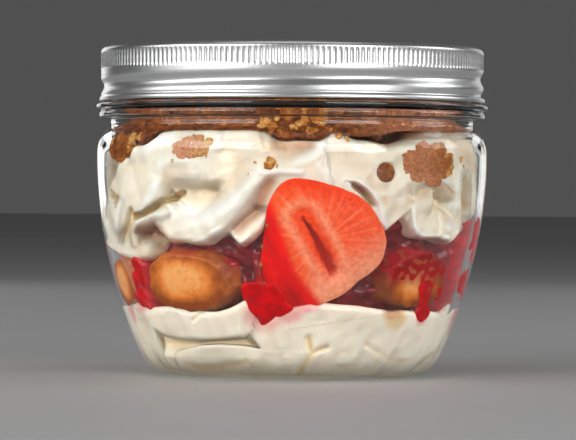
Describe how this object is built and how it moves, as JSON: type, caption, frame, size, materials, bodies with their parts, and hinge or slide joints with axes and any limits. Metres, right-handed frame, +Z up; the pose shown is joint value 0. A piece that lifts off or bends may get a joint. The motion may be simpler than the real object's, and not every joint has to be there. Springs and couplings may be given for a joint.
{
  "type": "tiramisu",
  "caption": "Strawberry tiramisu in a squat clear screw-lid jar: cream, sponge fingers in berry jam, strawberry halves, folded cream and a crumble topping under a silver lid.",
  "frame": {"origin": "centre of the jar's flat base, on the surface that it stands on", "axes": "+Z up along the jar's axis, -Y towards the front with the strawberry, +X to the right"},
  "size_m": [0.0918, 0.0918, 0.076],
  "materials": {
    "clear_glass": "clear, smooth, moulded glass",
    "satin_aluminium": "satin, rolled sheet",
    "cream": "soft whipped cream",
    "berry_jam": "wet, glossy jam",
    "sponge": "baked sponge finger",
    "strawberry": "moist cut fruit",
    "crumble": "dry baked crumble"
  },
  "bodies": {
    "root": {"berry_jam": "berry_jam", "crumb_ball_back": "crumble", "crumb_ball_front": "crumble", "crumb_centre_back": "crumble", "crumb_centre_front": "crumble", "crumb_left_back": "crumble", "crumb_left_front": "crumble", "crumb_right_back": "crumble", "crumb_right_front": "crumble", "crumble": "crumble", "jar": "clear_glass", "lid": "satin_aluminium", "low_cream": "cream", "sponge_left_back": "sponge", "sponge_left_front": "sponge", "sponge_right_back": "sponge", "sponge_right_front": "sponge", "sponge_side_back": "sponge", "sponge_side_front": "sponge", "strawberry_back": "strawberry", "strawberry_front": "strawberry", "top_cream": "cream"}
  },
  "joints": []
}
